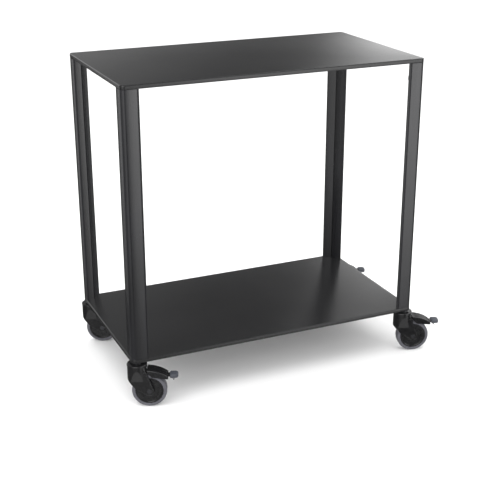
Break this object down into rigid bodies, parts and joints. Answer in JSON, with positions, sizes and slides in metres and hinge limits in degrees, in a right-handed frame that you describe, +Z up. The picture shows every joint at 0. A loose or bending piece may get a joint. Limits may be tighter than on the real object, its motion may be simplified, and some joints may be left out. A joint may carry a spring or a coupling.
{
  "type": "mobile equipment trolley",
  "caption": "Black mobile trolley: a flat top plate over a shelf plate, joined by corner profile legs, on swivel castors with brake pedals.",
  "frame": {"origin": "on the floor, at the middle of the stand's footprint with its castors swung as parked", "axes": "+X along the long side towards the right end, +Y from the front to the back, +Z up"},
  "size_m": [0.8154, 0.438, 0.744],
  "materials": {
    "plate": "satin black compact laminate",
    "leg_profile": "black anodised, satin",
    "castor_plastic": "black moulded nylon, satin",
    "pedal_plastic": "black moulded nylon, satin",
    "pad_rubber": "dark grey soft rubber",
    "shoe_rubber": "hard black rubber",
    "tyre_tread": "dark grey thermoplastic rubber",
    "hub_plastic": "black moulded plastic",
    "bearing_plastic": "natural acetal",
    "zinc_steel": "zinc plated",
    "dark_steel": "black zinc plated",
    "axle_steel": "black oxide turned steel",
    "spring_steel": "rolled spring steel",
    "hook_plastic": "black moulded plastic"
  },
  "bodies": {
    "frame": {"top_plate": "plate", "shelf_plate": "plate", "top_inserts": "zinc_steel", "top_studs": "zinc_steel", "front_left_leg": "leg_profile", "front_right_leg": "leg_profile", "rear_left_leg": "leg_profile", "rear_right_leg": "leg_profile", "cable_hook": "hook_plastic", "castor_stems": "zinc_steel", "stem_washers": "dark_steel", "retaining_rings": "dark_steel"},
    "front_left_swivel": {"front_left_castor_housing": "castor_plastic", "front_left_castor_cap": "castor_plastic", "front_left_swivel_bush": "bearing_plastic", "front_left_axle": "axle_steel", "front_left_pivot_pin": "axle_steel", "front_left_detent_spring": "spring_steel"},
    "front_left_wheel": {"front_left_wheel_hub": "hub_plastic", "front_left_wheel_bush": "bearing_plastic", "front_left_tyre": "tyre_tread"},
    "front_left_pedal": {"front_left_brake_pedal": "pedal_plastic", "front_left_brake_shoe": "shoe_rubber", "front_left_pedal_pad": "pad_rubber"},
    "front_right_swivel": {"front_right_castor_housing": "castor_plastic", "front_right_castor_cap": "castor_plastic", "front_right_swivel_bush": "bearing_plastic", "front_right_axle": "axle_steel", "front_right_pivot_pin": "axle_steel", "front_right_detent_spring": "spring_steel"},
    "front_right_wheel": {"front_right_wheel_hub": "hub_plastic", "front_right_wheel_bush": "bearing_plastic", "front_right_tyre": "tyre_tread"},
    "front_right_pedal": {"front_right_brake_pedal": "pedal_plastic", "front_right_brake_shoe": "shoe_rubber", "front_right_pedal_pad": "pad_rubber"},
    "rear_right_swivel": {"rear_right_castor_housing": "castor_plastic", "rear_right_castor_cap": "castor_plastic", "rear_right_swivel_bush": "bearing_plastic", "rear_right_axle": "axle_steel", "rear_right_pivot_pin": "axle_steel", "rear_right_detent_spring": "spring_steel"},
    "rear_right_wheel": {"rear_right_wheel_hub": "hub_plastic", "rear_right_wheel_bush": "bearing_plastic", "rear_right_tyre": "tyre_tread"},
    "rear_right_pedal": {"rear_right_brake_pedal": "pedal_plastic", "rear_right_brake_shoe": "shoe_rubber", "rear_right_pedal_pad": "pad_rubber"},
    "rear_left_swivel": {"rear_left_castor_housing": "castor_plastic", "rear_left_castor_cap": "castor_plastic", "rear_left_swivel_bush": "bearing_plastic", "rear_left_axle": "axle_steel", "rear_left_pivot_pin": "axle_steel", "rear_left_detent_spring": "spring_steel"},
    "rear_left_wheel": {"rear_left_wheel_hub": "hub_plastic", "rear_left_wheel_bush": "bearing_plastic", "rear_left_tyre": "tyre_tread"},
    "rear_left_pedal": {"rear_left_brake_pedal": "pedal_plastic", "rear_left_brake_shoe": "shoe_rubber", "rear_left_pedal_pad": "pad_rubber"}
  },
  "joints": [
    {"name": "front_left_castor_swivel", "type": "hinge", "parent": "frame", "child": "front_left_swivel", "pos_m": [-0.38438, -0.17574, 0.1015], "axis": [0, 0, 1], "continuous": true},
    {"name": "front_left_wheel_spin", "type": "hinge", "parent": "front_left_swivel", "child": "front_left_wheel", "pos_m": [-0.35935, -0.18585, 0.04], "axis": [0.3746, 0.9272, 0], "continuous": true},
    {"name": "front_left_brake_press", "type": "hinge", "parent": "front_left_swivel", "child": "front_left_pedal", "pos_m": [-0.36955, -0.18173, 0.088], "axis": [0.3746, 0.9272, 0], "range_deg": [0, 10]},
    {"name": "front_right_castor_swivel", "type": "hinge", "parent": "frame", "child": "front_right_swivel", "pos_m": [0.31702, -0.17574, 0.1015], "axis": [0, 0, 1], "continuous": true},
    {"name": "front_right_wheel_spin", "type": "hinge", "parent": "front_right_swivel", "child": "front_right_wheel", "pos_m": [0.34284, -0.18363, 0.04], "axis": [0.2924, 0.9563, 0], "continuous": true},
    {"name": "front_right_brake_press", "type": "hinge", "parent": "front_right_swivel", "child": "front_right_pedal", "pos_m": [0.33232, -0.18041, 0.088], "axis": [0.2924, 0.9563, 0], "range_deg": [0, 10]},
    {"name": "rear_right_castor_swivel", "type": "hinge", "parent": "frame", "child": "rear_right_swivel", "pos_m": [0.31702, 0.19566, 0.1015], "axis": [0, 0, 1], "continuous": true},
    {"name": "rear_right_wheel_spin", "type": "hinge", "parent": "rear_right_swivel", "child": "rear_right_wheel", "pos_m": [0.34284, 0.18777, 0.04], "axis": [0.2924, 0.9563, 0], "continuous": true},
    {"name": "rear_right_brake_press", "type": "hinge", "parent": "rear_right_swivel", "child": "rear_right_pedal", "pos_m": [0.33232, 0.19099, 0.088], "axis": [0.2924, 0.9563, 0], "range_deg": [0, 10]},
    {"name": "rear_left_castor_swivel", "type": "hinge", "parent": "frame", "child": "rear_left_swivel", "pos_m": [-0.38438, 0.19566, 0.1015], "axis": [0, 0, 1], "continuous": true},
    {"name": "rear_left_wheel_spin", "type": "hinge", "parent": "rear_left_swivel", "child": "rear_left_wheel", "pos_m": [-0.35935, 0.18555, 0.04], "axis": [0.3746, 0.9272, 0], "continuous": true},
    {"name": "rear_left_brake_press", "type": "hinge", "parent": "rear_left_swivel", "child": "rear_left_pedal", "pos_m": [-0.36955, 0.18967, 0.088], "axis": [0.3746, 0.9272, 0], "range_deg": [0, 10]}
  ]
}
